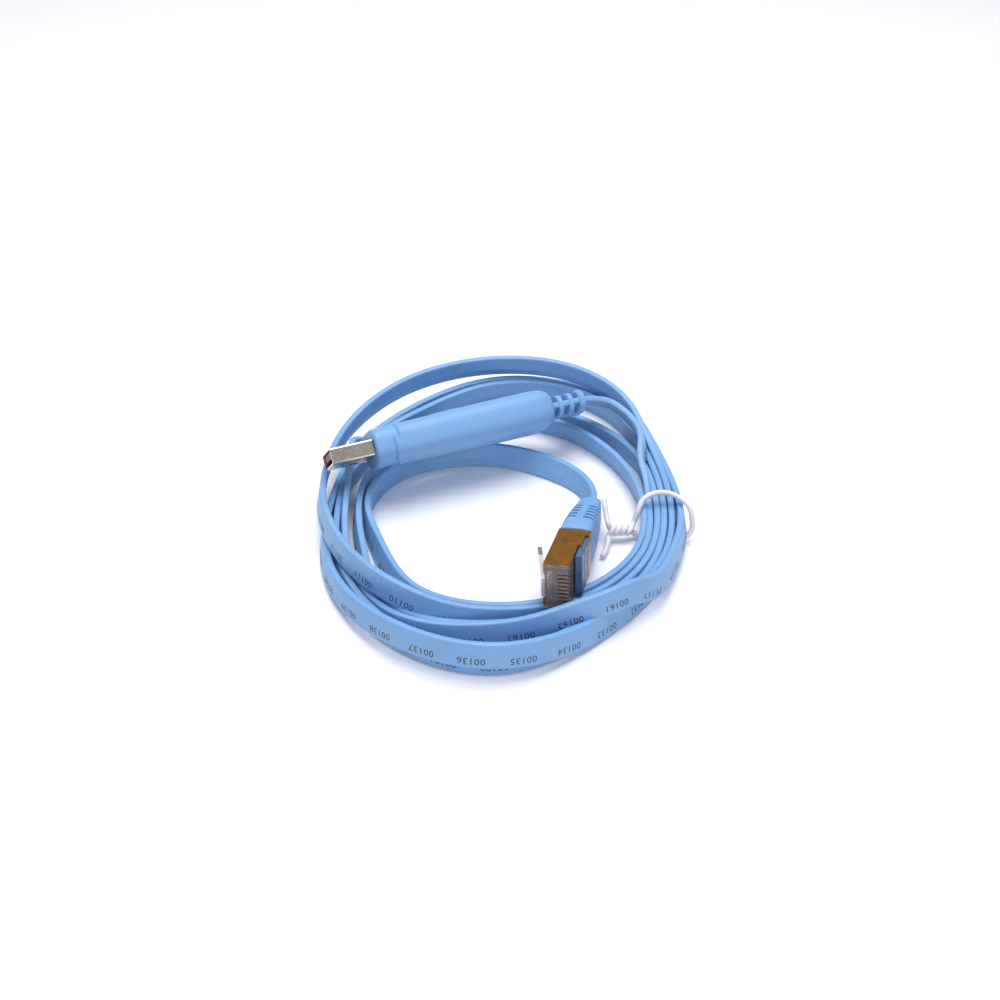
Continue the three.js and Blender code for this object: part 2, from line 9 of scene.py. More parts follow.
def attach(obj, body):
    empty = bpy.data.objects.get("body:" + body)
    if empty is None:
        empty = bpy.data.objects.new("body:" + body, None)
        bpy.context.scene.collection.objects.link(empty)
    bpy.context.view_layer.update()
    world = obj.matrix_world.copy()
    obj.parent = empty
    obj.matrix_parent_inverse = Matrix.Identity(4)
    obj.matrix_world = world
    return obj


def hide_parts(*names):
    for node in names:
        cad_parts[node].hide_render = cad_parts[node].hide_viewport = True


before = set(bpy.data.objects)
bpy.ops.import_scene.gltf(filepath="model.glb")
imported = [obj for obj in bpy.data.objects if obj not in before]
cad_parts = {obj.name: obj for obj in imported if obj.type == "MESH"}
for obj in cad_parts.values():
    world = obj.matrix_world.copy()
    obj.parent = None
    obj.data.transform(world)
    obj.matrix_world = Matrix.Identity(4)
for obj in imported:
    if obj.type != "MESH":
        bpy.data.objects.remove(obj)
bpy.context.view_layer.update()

MM = 0.001

# The camera: elevation, distance and the point it looks at, in millimetres
CAMERA_ELEVATION = radians(39.0)
CAMERA_DISTANCE = 330.0
CAMERA_AIM = (0.6, 6.0, 0.0)
CAMERA_LENS = 41.58
CAMERA_SENSOR = 36.0

# The flat cord
CORD_WIDTH = 7.0
CORD_THICKNESS = 1.8
CORD_EDGE = 0.55
CORD_STEP = 1.6
LINE_AT = -0.9
LINE_HALF = 0.2
LINE_HEIGHT = 0.14
SEAT_GAP = 0.3
TIE_ANGLE = radians(-11)
TIE_THICKNESS = 1.0
TIE_HUMP_REACH = radians(24)

# The turns of the coil, from the USB plug to the modular plug. Each turn has a station every
# 30 degrees, clockwise from +X: the radius of the cord's middle and how far it lies off the floor.
TURN_RADII = [
    [42.15, 45.1, 46.5, 46.3, 50.0, 48.8, 48.6, 52.4, 57.0, 59.6, 58.6, 51.2],
    [48.0, 50.8, 54.4, 62.2, 58.6, 51.8, 46.4, 47.2, 51.6, 59.8, 60.6, 53.1],
    [50.0, 52.8, 53.9, 52.6, 53.4, 46.2, 42.3, 45.4, 48.6, 57.2, 58.0, 49.3],
    [46.05, 48.9, 52.8, 59.7, 56.2, 48.8, 44.4, 43.2, 43.6, 44.4, 45.6, 45.4],
    [44.1, 47.0, 49.0, 50.2, 51.2, 41.8, 38.9, 39.2, 40.4, 41.4, 40.6, 39.6],
    [40.2, 43.2, 44.2, 44.1, 43.0, 37.0, 36.2, 32.0],
]
TURN_LIFTS = [
    [0.4, 0.2, 0.0, 0.8, 6.8, 7.6, 5.0, 4.6, 6.6, 7.8, 7.6, 2.0],
    [0.4, 0.0, 0.4, 4.5, 3.5, 0.4, 0, 0, 0, 0, 0, 0],
    [0.8, 2.4, 7.0, 2.2, 0, 0, 2.6, 2.6, 0, 0, 0, 0],
    [0] * 12,
    [0] * 12,
    [0] * 8,
]
# Stations between those, where a turn crosses another: turn, degrees clockwise, radius, lift
CROSSINGS = [
    (0, 45, 46.0, 0.0), (0, 105, 48.6, 3.4), (0, 165, 48.4, 7.6), (0, 190, 49.6, 4.0), (0, 315, 56.0, 5.2),
    (1, 45, 52.0, 0.2), (1, 52, 52.9, 0.2), (1, 75, 58.6, 2.4), (1, 225, 48.9, 0.0), (1, 315, 58.2, 0.0),
    (2, 15, 51.4, 1.2), (2, 45, 54.9, 4.6), (2, 52, 54.6, 7.0), (2, 70, 52.9, 5.6), (2, 80, 52.6, 3.6),
    (2, 187, 42.6, 3.2), (2, 194, 43.5, 5.6), (2, 199, 44.6, 7.4), (2, 204, 45.3, 5.6), (2, 217, 46.2, 0.4),
    (2, 225, 47.0, 0.0), (2, 315, 53.9, 0.0),
    (3, 45, 50.7, 0.0), (3, 190, 44.3, 0.0), (3, 199, 43.6, 0.0),
]
CORD_LEAN = 12.0
LAST_TURN_LEANS = [12, 12, 12, 14, 20, 16, 4, -8]
USB_LEAD = [(27.5, 34.2, 14.9), (32.4, 34.3, 14.0), (37.2, 31.0, 12.6), (40.6, 25.2, 11.6),
            (41.6, 18.9, 11.0), (40.9, 11.8, 8.6), (41.8, 5.9, 6.2)]
USB_LEAD_LEANS = [45, 45, 43, 38, 28, 20, 14, 12, 12]
# The stretch to the modular plug: degrees from +X, radius, lean
RJ45_LEAD = [(134, 28.6, -14), (119, 25.8, -17), (104, 23.8, -17), (87, 22.4, -17), (70, 21.8, -17),
             (52, 22.2, -17), (36, 23.6, -15), (22, 25.2, -10), (9, 26.4, -5)]
EXIT_STRAIGHT = 3.0

# The two plugs, as the CAD places them
USB_REAR = Vector((23.4, 32.7, 15.3))
USB_MOUTH = Vector((-46.6, 2.1, 17.2))
USB_ROLL = radians(-135)
SHELL_LENGTH = 12.3
GRIP_WIDTH = 18.4
GRIP_HEIGHT = 11.9
GRIP_START = 10.0
GRIP_POWER = 3.0
GRIP_REAR_SHARE = 0.56
GRIP_REAR_ROUND = 5.5
GRIP_REAR_LEAST = 0.04956
GRIP_TAPER = 0.09
GRIP_TAPER_FROM = 26.0
GRIP_TAPER_LENGTH = 34.0
COLLAR_LENGTH = 5.6
COLLAR_ROUND = 0.9
COLLAR_FRONT_INSET = 0.8
COLLAR_INSET = 0.22
PARTING_DEPTH = 0.55
PARTING_WIDTH = 0.28
PARTING_STEP = 1.5
RELIEF_WIDTH = 11.4
RELIEF_HEIGHT = 6.4
RELIEF_POWER = 2.8
RELIEF_RINGS = 3
RELIEF_PITCH = 3.3
RELIEF_RING_LENGTH = 1.6
RELIEF_FLARE = 1.12
RELIEF_CORE = (7.6, 2.4)
RELIEF_LINK = (1.5, 1.3)
RELIEF_SIDE_LINK = (1.2, 1.6)
RELIEF_SIDE_LINK_OUT = 4.9
RJ45_REAR = Vector((25.8, -4.0, 4.5))
RJ45_NOSE = Vector((14.6, -46.4, 14.9))
RJ45_ROLL = radians(95)
BOOT_LENGTH = 24.0
BOOT_WIDTH = 12.4
BOOT_HEIGHT = 8.8
# How far along the boot, and the shares of its width and height there
BOOT_STATIONS = [(0.0, 0.60, 0.58), (0.35, 0.655, 0.65), (1.0, 0.67, 0.68), (2.0, 0.7, 0.72), (6, 0.78, 0.8),
                 (10, 0.87, 0.88), (14, 0.94, 0.94), (18, 1.0, 0.98), (23.5, 1.0, 1.0), (23.9, 0.99, 0.99),
                 (BOOT_LENGTH, 0.97, 0.96)]
BOOT_SLOTS = 5
BOOT_SLOT_FIRST = 7.6
BOOT_SLOT_PITCH = 2.2
BOOT_SLOT_LENGTH = 1.0
BOOT_SLOT_DEPTH = 1.3
BOOT_RIB_HALF = 0.95

# Length marks on the cord
MARK_SPACING = 12.3
MARK_HEIGHT = 1.8
MARK_LEVEL = -0.6
MARK_DIGITS = 5
MARK_PROUD = 0.015
FIRST_MARK = 101
FIRST_MARK_AT = 30
MARKS_END_BEFORE = 60
FONT_SIZE_PER_HEIGHT = 1.38


# Camera

def make_camera():
    aim = Vector(CAMERA_AIM) * MM
    away = Vector((0, -cos(CAMERA_ELEVATION), sin(CAMERA_ELEVATION)))
    data = bpy.data.cameras.new("camera")
    data.lens = CAMERA_LENS
    data.sensor_width = CAMERA_SENSOR
    data.clip_start = 0.01
    camera = bpy.data.objects.new("camera", data)
    camera.location = aim + away * CAMERA_DISTANCE * MM
    camera.rotation_euler = away.to_track_quat("Z", "Y").to_euler()
    bpy.context.scene.collection.objects.link(camera)
    bpy.context.scene.camera = camera


make_camera()


# Materials

def linear(c):
    return c / 255 / 12.92 if c <= 10 else ((c / 255 + 0.055) / 1.055) ** 2.4


def srgb(r, g, b):
    """A linear colour with its alpha, from screen values up to 255."""
    return (linear(r), linear(g), linear(b), 1.0)


class Look:
    """A node material built round one Principled shader."""

    def __init__(self, name, color, roughness, metallic=0.0, **sockets):
        self.material = bpy.data.materials.new(name)
        self.material.use_nodes = True
        self.tree = self.material.node_tree
        self.shader = self.tree.nodes["Principled BSDF"]
        self.shader.inputs["Base Color"].default_value = color
        self.shader.inputs["Roughness"].default_value = roughness
        self.shader.inputs["Metallic"].default_value = metallic
        for socket, value in sockets.items():
            self.shader.inputs[socket.replace("_", " ")].default_value = value
        self.place = self.tree.nodes.new("ShaderNodeTexCoord").outputs["Object"]
        self.color = color
        self.bumps = None

    def noise(self, scale, detail=3.0, stretch=None):
        place = self.place
        if stretch is not None:
            mapping = self.tree.nodes.new("ShaderNodeMapping")
            mapping.inputs["Scale"].default_value = stretch
            self.tree.links.new(place, mapping.inputs["Vector"])
            place = mapping.outputs["Vector"]
        node = self.tree.nodes.new("ShaderNodeTexNoise")
        node.inputs["Scale"].default_value = scale
        node.inputs["Detail"].default_value = detail
        self.tree.links.new(place, node.inputs["Vector"])
        return node.outputs["Fac"]

    def between(self, fac, low, high):
        node = self.tree.nodes.new("ShaderNodeMapRange")
        node.inputs["From Min"].default_value = 0.3
        node.inputs["From Max"].default_value = 0.7
        node.inputs["To Min"].default_value = low
        node.inputs["To Max"].default_value = high
        self.tree.links.new(fac, node.inputs["Value"])
        return node.outputs["Result"]

    def tint(self, fac, other, share):
        """Mottles the base colour towards another by at most the share."""
        node = self.tree.nodes.new("ShaderNodeMix")
        node.data_type = "RGBA"
        node.inputs["A"].default_value = self.color
        node.inputs["B"].default_value = other
        before = self.shader.inputs["Base Color"]
        if before.is_linked:
            self.tree.links.new(before.links[0].from_socket, node.inputs["A"])
        self.tree.links.new(self.between(fac, 0.0, share), node.inputs["Factor"])
        self.tree.links.new(node.outputs["Result"], before)
        return self

    def rough(self, fac, low, high):
        self.tree.links.new(self.between(fac, low, high), self.shader.inputs["Roughness"])
        return self

    def bump(self, fac, depth, strength=0.3):
        node = self.tree.nodes.new("ShaderNodeBump")
        node.inputs["Distance"].default_value = depth
        node.inputs["Strength"].default_value = strength
        self.tree.links.new(fac, node.inputs["Height"])
        if self.bumps is not None:
            self.tree.links.new(self.bumps, node.inputs["Normal"])
        self.bumps = node.outputs["Normal"]
        self.tree.links.new(self.bumps, self.shader.inputs["Normal"])
        return self


def cord_look():
    look = Look("cord_pvc", srgb(124, 168, 212), 0.42, Specular_IOR_Level=0.45)
    look.shader.inputs["Subsurface Weight"].default_value = 0.12
    look.shader.inputs["Subsurface Radius"].default_value = (0.6, 0.8, 1.0)
    look.shader.inputs["Subsurface Scale"].default_value = 0.0012
    look.tint(look.noise(70), srgb(108, 154, 204), 0.5)
    look.tint(look.noise(900), srgb(144, 186, 224), 0.25)
    look.rough(look.noise(400), 0.38, 0.5)
    look.bump(look.noise(2600, 2.0), 0.00006, 0.25)
    look.bump(look.noise(160, 2.0), 0.0002, 0.15)
    return look.material


def grip_look():
    look = Look("grip_pvc", srgb(126, 170, 214), 0.48, Specular_IOR_Level=0.4)
    look.shader.inputs["Subsurface Weight"].default_value = 0.12
    look.shader.inputs["Subsurface Radius"].default_value = (0.6, 0.8, 1.0)
    look.shader.inputs["Subsurface Scale"].default_value = 0.0015
    look.tint(look.noise(60), srgb(112, 158, 206), 0.45)
    look.rough(look.noise(300), 0.42, 0.56)
    look.bump(look.noise(3200, 2.0), 0.00008, 0.35)
    look.bump(look.noise(120, 2.0), 0.0003, 0.15)
    return look.material


def plate_look():
    look = Look("usb_plate", srgb(236, 226, 208), 0.2, 1.0)
    look.tint(look.noise(220), srgb(206, 170, 132), 0.5)
    look.rough(look.noise(1500, 4.0, (1, 1, 0.1)), 0.14, 0.3)
    look.bump(look.noise(2400, 3.0, (1, 1, 0.1)), 0.00003, 0.2)
    return look.material


def shield_look():
    look = Look("shield_gold", srgb(206, 142, 46), 0.34, 1.0)
    look.tint(look.noise(260), srgb(176, 112, 28), 0.55)
    look.rough(look.noise(900, 4.0), 0.28, 0.46)
    look.bump(look.noise(2600, 3.0), 0.00004, 0.3)
    return look.material


def clear_look():
    look = Look("clear_plastic", srgb(238, 226, 222), 0.06, IOR=1.52)
    look.shader.inputs["Transmission Weight"].default_value = 0.86
    look.tint(look.noise(180), srgb(196, 168, 160), 0.4)
    look.rough(look.noise(500), 0.04, 0.14)
    look.bump(look.noise(900, 2.0), 0.00005, 0.15)
    return look.material


def coloured_plastic(name, color, darker, roughness=0.4):
    look = Look(name, color, roughness)
    look.tint(look.noise(400), darker, 0.5)
    look.rough(look.noise(700), roughness - 0.06, roughness + 0.1)
    look.bump(look.noise(2000, 2.0), 0.00005, 0.25)
    return look.material


def contact_look():
    look = Look("contact_gold", srgb(224, 160, 82), 0.22, 1.0)
    look.tint(look.noise(600), srgb(186, 110, 50), 0.5)
    look.rough(look.noise(1600), 0.16, 0.34)
    look.bump(look.noise(3000), 0.00003, 0.2)
    return look.material


def tie_look():
    look = Look("tie_plastic", srgb(232, 226, 232), 0.4, Specular_IOR_Level=0.5)
    look.shader.inputs["Subsurface Weight"].default_value = 0.25
    look.shader.inputs["Subsurface Radius"].default_value = (1.0, 0.8, 0.8)
    look.shader.inputs["Subsurface Scale"].default_value = 0.0008
    look.tint(look.noise(350), srgb(206, 188, 190), 0.5)
    look.rough(look.noise(800), 0.34, 0.5)
    look.bump(look.noise(1500, 3.0), 0.0001, 0.35)
    return look.material


def ink_look():
    look = Look("mark_ink", srgb(26, 30, 44), 0.5)
    look.tint(look.noise(3000), srgb(52, 62, 84), 0.6)
    look.rough(look.noise(1500), 0.42, 0.6)
    return look.material


CORD = cord_look()
GRIP = grip_look()
TIE = tie_look()


# Meshes

def add_piece(name, vertices, faces, material, smooth_under=40):
    """A new piece from points in millimetres, shaded smooth except at its edges."""
    mesh = bpy.data.meshes.new(name)
    mesh.from_pydata([tuple(c * MM for c in v) for v in vertices], [], faces)
    mesh.materials.append(material)
    piece = bpy.data.objects.new(name, mesh)
    bpy.context.scene.collection.objects.link(piece)
    finish_mesh(piece, smooth_under)
    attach(piece, "root")
    return piece


def finish_mesh(piece, smooth_under):
    mesh = piece.data
    work = bmesh.new()
    work.from_mesh(mesh)
    bmesh.ops.recalc_face_normals(work, faces=work.faces)
    work.to_mesh(mesh)
    work.free()
    mesh.shade_smooth()
    mesh.set_sharp_from_angle(angle=radians(smooth_under))


def tube_faces(rings, sides, closed=False, start=0):
    """Quads between rings of points, with a flat cap on each end of an open tube."""
    faces = []
    for i in range(rings if closed else rings - 1):
        a = start + i * sides
        b = start + ((i + 1) % rings) * sides
        for k in range(sides):
            n = (k + 1) % sides
            faces.append((a + k, a + n, b + n, b + k))
    if not closed:
        faces.append(tuple(range(start, start + sides)))
        faces.append(tuple(range(start + rings * sides - 1, start + (rings - 1) * sides - 1, -1)))
    return faces


def spline(points, spacing):
    """Points at an even spacing on a natural cubic through rows of coordinates."""
    rows = np.array(points, float)
    chords = np.linalg.norm(np.diff(rows[:, :3], axis=0), axis=1)
    knots = np.concatenate([[0], np.cumsum(chords)])
    n = len(rows)
    h = np.diff(knots)
    system = np.eye(n)
    right = np.zeros_like(rows)
    for i in range(1, n - 1):
        system[i, i - 1:i + 2] = (h[i - 1], 2 * (h[i - 1] + h[i]), h[i])
        right[i] = 6 * ((rows[i + 1] - rows[i]) / h[i] - (rows[i] - rows[i - 1]) / h[i - 1])
    second = np.linalg.solve(system, right)

    def at(u):
        i = np.clip(np.searchsorted(knots, u) - 1, 0, n - 2)
        a = ((knots[i + 1] - u) / h[i])[:, None]
        b = 1 - a
        bend = ((a ** 3 - a) * second[i] + (b ** 3 - b) * second[i + 1]) * (h[i] ** 2)[:, None] / 6
        return a * rows[i] + b * rows[i + 1] + bend

    fine = np.linspace(0, knots[-1], n * 60)
    path = at(fine)
    travelled = np.concatenate([[0], np.cumsum(np.linalg.norm(np.diff(path[:, :3], axis=0), axis=1))])
    count = int(ceil(travelled[-1] / spacing)) + 1
    return at(np.interp(np.linspace(0, travelled[-1], count), travelled, fine))


# The cord's route

def hump(angle):
    away = abs(atan2(sin(angle - TIE_ANGLE), cos(angle - TIE_ANGLE)))
    if away > TIE_HUMP_REACH:
        return 0.0
    return (TIE_THICKNESS + SEAT_GAP) * cos(away / TIE_HUMP_REACH * pi / 2) ** 2


def upright_height(lean):
    return CORD_WIDTH * cos(radians(lean)) + CORD_THICKNESS * abs(sin(radians(lean)))


def turn_stations():
    """The coil's stations in order: turn, degrees clockwise, radius, lift and lean."""
    stations = []
    for turn, (radii, lifts) in enumerate(zip(TURN_RADII, TURN_LIFTS)):
        last = turn == len(TURN_RADII) - 1
        for i, (radius, lift) in enumerate(zip(radii, lifts)):
            lean = LAST_TURN_LEANS[i] if last else CORD_LEAN
            stations.append((turn, 30 * i, radius, lift, lean))
    stations += [(turn, place, radius, lift, CORD_LEAN) for turn, place, radius, lift in CROSSINGS]
    return sorted(stations)


def cord_points():
    """The cord's middle from plug to plug, each point with its lean, in millimetres and degrees."""
    usb_forward = (USB_MOUTH - USB_REAR).normalized()
    points = [(*(USB_REAR - usb_forward * behind), lean)
              for behind, lean in zip((SEAT_GAP, EXIT_STRAIGHT), USB_LEAD_LEANS)]
    points += [(*place, lean) for place, lean in zip(USB_LEAD, USB_LEAD_LEANS[2:])]
    for _, place, radius, lift, lean in turn_stations():
        angle = -radians(place)
        height = upright_height(lean) / 2 + lift + hump(angle)
        points.append((radius * cos(angle), radius * sin(angle), height, lean))
    for place, radius, lean in RJ45_LEAD:
        angle = radians(place)
        points.append((radius * cos(angle), radius * sin(angle), upright_height(lean) / 2, lean))
    rj45_forward = (RJ45_NOSE - RJ45_REAR).normalized()
    points += [(*(RJ45_REAR - rj45_forward * behind), 0.0) for behind in (EXIT_STRAIGHT, SEAT_GAP)]
    return points


def cord_frames():
    """The middle, the side, the width's direction and the forward direction along the cord."""
    rows = spline(cord_points(), CORD_STEP)
    middles = rows[:, :3]
    tangents = np.gradient(middles, axis=0)
    tangents /= np.linalg.norm(tangents, axis=1)[:, None]
    level = np.cross(tangents, (0, 0, 1))
    level /= np.linalg.norm(level, axis=1)[:, None]
    upright = np.cross(level, tangents)
    lean = np.radians(rows[:, 3])[:, None]
    wide = upright * np.cos(lean) + np.cross(tangents, upright) * np.sin(lean)
    side = np.cross(wide, tangents)
    return middles, side, wide, tangents


MIDDLES, SIDES, WIDES, TANGENTS = cord_frames()


def cord_section():
    """Half thickness and half width, with rounded edges and one thin raised line on the inner broad face."""
    t, w, e = CORD_THICKNESS / 2, CORD_WIDTH / 2, CORD_EDGE
    corner = [radians(a) for a in (0, 22, 45, 68, 90)]
    quarter = [(t - e + e * cos(a), w - e + e * sin(a)) for a in corner]
    line = [(t, LINE_AT - 2 * LINE_HALF), (t + LINE_HEIGHT, LINE_AT - LINE_HALF),
            (t + LINE_HEIGHT, LINE_AT + LINE_HALF), (t, LINE_AT + 2 * LINE_HALF)]
    lower = [(x, -y) for x, y in reversed(quarter)]
    inner = lower + line + quarter
    return lower + quarter + [(-x, y) for x, y in reversed(inner)]


def make_cable():
    section = cord_section()
    vertices = []
    for middle, side, wide in zip(MIDDLES, SIDES, WIDES):
        vertices += [middle + side * x + wide * y for x, y in section]
    piece = add_piece("cable", vertices, tube_faces(len(MIDDLES), len(section)), CORD, 50)
    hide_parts("cable_coil", "cable_top_turn", "cable_usb_lead", "cable_rj45_lead")
    return piece


def make_marks():
    """Plain counting numbers every few millimetres, low on the cord's outer face."""
    ink = ink_look()
    work = bmesh.new()
    text = bpy.data.curves.new("length_mark", "FONT")
    text.size = MARK_HEIGHT * FONT_SIZE_PER_HEIGHT
    text.space_character = 1.1
    holder = bpy.data.objects.new("length_mark", text)
    bpy.context.scene.collection.objects.link(holder)
    spacing = np.linalg.norm(MIDDLES[1] - MIDDLES[0])
    total = spacing * (len(MIDDLES) - 1)
    for number in range(int((total - MARKS_END_BEFORE) / MARK_SPACING)):
        text.body = str(FIRST_MARK + number).zfill(MARK_DIGITS)
        bpy.context.view_layer.update()
        flat = holder.evaluated_get(bpy.context.evaluated_depsgraph_get()).to_mesh()
        start = FIRST_MARK_AT + number * MARK_SPACING
        placed = []
        for vertex in flat.vertices:
            along = start + vertex.co.x
            i = along / spacing
            k = min(int(i), len(MIDDLES) - 2)
            share = i - k
            middle = MIDDLES[k] * (1 - share) + MIDDLES[k + 1] * share
            side = SIDES[k] * (1 - share) + SIDES[k + 1] * share
            wide = WIDES[k] * (1 - share) + WIDES[k + 1] * share
            level = MARK_LEVEL - vertex.co.y
            spot = middle + side * (CORD_THICKNESS / 2 + MARK_PROUD) + wide * level
            placed.append(work.verts.new(tuple(spot * MM)))
        for polygon in flat.polygons:
            work.faces.new([placed[v] for v in polygon.vertices])
    bpy.data.objects.remove(holder)
    mesh = bpy.data.meshes.new("cable_length_marks")
    work.to_mesh(mesh)
    work.free()
    mesh.materials.append(ink)
    piece = bpy.data.objects.new("cable_length_marks", mesh)
    bpy.context.scene.collection.objects.link(piece)
    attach(piece, "root")
    return piece


# The plugs' own frames

def plug_matrix(rear, front, roll):
    x = (front - rear).normalized()
    y = Vector((0, 0, 1)).cross(x).normalized()
    y = Matrix.Rotation(roll, 3, x) @ y
    z = x.cross(y)
    return Matrix.Translation(rear) @ Matrix((x, y, z)).transposed().to_4x4()


USB = plug_matrix(USB_REAR, USB_MOUTH, USB_ROLL)
RJ45 = plug_matrix(RJ45_REAR, RJ45_NOSE, RJ45_ROLL)
USB_LENGTH = (USB_MOUTH - USB_REAR).length
COLLAR_FRONT = USB_LENGTH - SHELL_LENGTH
COLLAR_BACK = COLLAR_FRONT - COLLAR_LENGTH


def oval(width, height, power, sides):
    """A ring of points on a superellipse, y across and z upward."""
    ring = []
    for k in range(sides):
        a = 2 * pi * k / sides
        c, s = cos(a), sin(a)
        ring.append((width / 2 * abs(c) ** (2 / power) * (1 if c > 0 else -1),
                     height / 2 * abs(s) ** (2 / power) * (1 if s > 0 else -1)))
    return ring


def loft(matrix, sections, sides):
    """Points and faces of a bar with a ring of points at each station."""
    vertices = []
    for x, ring in sections:
        vertices += [matrix @ Vector((x, y, z)) for y, z in ring]
    return vertices, tube_faces(len(sections), sides)


def joined(parts):
    """Several solids' points and faces as one list of each."""
    vertices, faces = [], []
    for more_vertices, more_faces in parts:
        start = len(vertices)
        vertices += more_vertices
        faces += [tuple(v + start for v in face) for face in more_faces]
    return vertices, faces


def smooth_step(x):
    x = min(max(x, 0.0), 1.0)
    return x * x * (3 - 2 * x)


def grip_size(x):
    """The share of the grip's full section at a station."""
    still_to_go = 1 - min((x - GRIP_START) / GRIP_REAR_ROUND, 1.0)
    rear = max(sqrt(1 - still_to_go ** 2), GRIP_REAR_LEAST)
    front = 1 - GRIP_TAPER * smooth_step((x - GRIP_TAPER_FROM) / GRIP_TAPER_LENGTH)
    return (GRIP_REAR_SHARE + (1 - GRIP_REAR_SHARE) * rear) * front


def make_grip():
    sides = 72
    groove_at = COLLAR_BACK - 0.5
    stations = list(np.arange(GRIP_START, GRIP_START + 6, 0.35))
    stations += list(np.arange(GRIP_START + 6, groove_at - 4.2, 2.2))
    stations += list(np.arange(groove_at - 4.0, groove_at + 4.0, 0.16))
    stations += [COLLAR_FRONT - behind for behind in (COLLAR_ROUND, 0.55, 0.25, 0.08, 0.0)]
    sections = []
    for x in stations:
        size = grip_size(x)
        ring = oval(GRIP_WIDTH * size, GRIP_HEIGHT * size, GRIP_POWER, sides)
        placed = []
        for k, (y, z) in enumerate(ring):
            around = 2 * pi * k / sides
            turn = 1 if sin(around) < 0 else -1
            wave = PARTING_STEP * (smooth_step((y / GRIP_WIDTH + 0.24) / 0.14) - 0.5) * turn
            away = x - (groove_at + wave)
            inset = PARTING_DEPTH * exp(-(away / PARTING_WIDTH) ** 2)
            inset += COLLAR_INSET * smooth_step((away + 0.1) / 0.4)
            nose = max(0.0, x - (COLLAR_FRONT - COLLAR_ROUND)) / COLLAR_ROUND
            inset += COLLAR_FRONT_INSET * (1 - sqrt(max(0.0, 1 - nose ** 2)))
            length = max(sqrt(y * y + z * z), 0.01)
            placed.append((y - y / length * inset, z - z / length * inset))
        sections.append((x, placed))
    parts = [loft(USB, sections, sides)]
    parts += relief_parts()
    piece = add_piece("usb_grip", *joined(parts), GRIP, 35)
    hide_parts("usb_body")
    return piece


def relief_ring(start, length, width, height, flare):
    """One rib of the strain relief, its edges rounded over."""
    sides = 48
    round_over = 0.35
    sections = []
    for share, inset in ((0, round_over), (0.04, 0.15), (0.14, 0), (0.86, 0), (0.96, 0.15), (1, round_over)):
        grow = flare + (1 - flare) * share
        ring = oval(width * grow - 2 * inset, height * grow - 2 * inset, RELIEF_POWER, sides)
        sections.append((start + length * share, ring))
    return loft(USB, sections, sides)


def relief_link(start, end, y, z, wide, high):
    ring = oval(wide, high, 4.0, 16)
    return loft(USB, [(x, [(a + y, b + z) for a, b in ring]) for x in (start, end)], 16)


def relief_parts():
    """Three ribs round the cord, joined to each other by short links as a ladder's rungs are."""
    sides = 32
    core = [(x, oval(*RELIEF_CORE, GRIP_POWER, sides)) for x in (0.0, GRIP_START + 0.5)]
    parts = [loft(USB, core, sides)]
    for i in range(RELIEF_RINGS):
        start = i * RELIEF_PITCH
        flare = RELIEF_FLARE if i == 0 else 1.0
        parts.append(relief_ring(start, RELIEF_RING_LENGTH, RELIEF_WIDTH, RELIEF_HEIGHT, flare))
        link_from, link_to = start + RELIEF_RING_LENGTH - 0.3, start + RELIEF_PITCH + 0.4
        for side in (-1, 1):
            edge = side * (RELIEF_HEIGHT / 2 - RELIEF_LINK[0] / 2)
            parts.append(relief_link(link_from, link_to, 0.0, edge, *RELIEF_LINK))
            parts.append(relief_link(link_from, link_to, side * RELIEF_SIDE_LINK_OUT, 0.0, *RELIEF_SIDE_LINK))
    return parts


# The modular plug's boot

def make_boot():
    sides = 64
    sections = []
    for x, wide, high in BOOT_STATIONS:
        sections.append((x, oval(BOOT_WIDTH * wide, BOOT_HEIGHT * high, 5.0, sides)))
    piece = add_piece("rj45_boot_skin", *loft(RJ45, sections, sides), GRIP, 40)
    cutters = []
    for i in range(BOOT_SLOTS):
        x = BOOT_SLOT_FIRST + BOOT_SLOT_PITCH * i
        half = BOOT_WIDTH / 2 * (0.7 + 0.3 * min(1.0, (x - 2) / 16))
        for side in (-1, 1):
            for across in (-1, 1):
                cutters.append(slot_cutter(x, BOOT_SLOT_LENGTH, side, half - BOOT_SLOT_DEPTH, across))
    cutter = add_piece("boot_slots", *joined(cutters), GRIP)
    cut = piece.modifiers.new("slots", "BOOLEAN")
    cut.object = cutter
    cut.solver = "EXACT"
    apply_modifiers(piece)
    bpy.data.objects.remove(cutter)
    finish_mesh(piece, 35)
    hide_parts("rj45_boot")
    return piece


def slot_cutter(x, length, side, depth, across):
    """A block that cuts one slot into a narrow side of the boot, from its middle rib outwards."""
    corners = [(x, side * depth), (x + length, side * depth)]
    corners += [(x + length, side * BOOT_WIDTH), (x, side * BOOT_WIDTH)]
    inner, outer = across * BOOT_RIB_HALF, across * BOOT_HEIGHT
    vertices = [RJ45 @ Vector((a, b, c)) for c in (inner, outer) for a, b in corners]
    faces = [(0, 1, 2, 3), (7, 6, 5, 4), (0, 4, 5, 1), (1, 5, 6, 2), (2, 6, 7, 3), (3, 7, 4, 0)]
    return vertices, faces


def apply_modifiers(piece):
    evaluated = piece.evaluated_get(bpy.context.evaluated_depsgraph_get())
    mesh = bpy.data.meshes.new_from_object(evaluated)
    piece.modifiers.clear()
    piece.data = mesh


# The wire tie

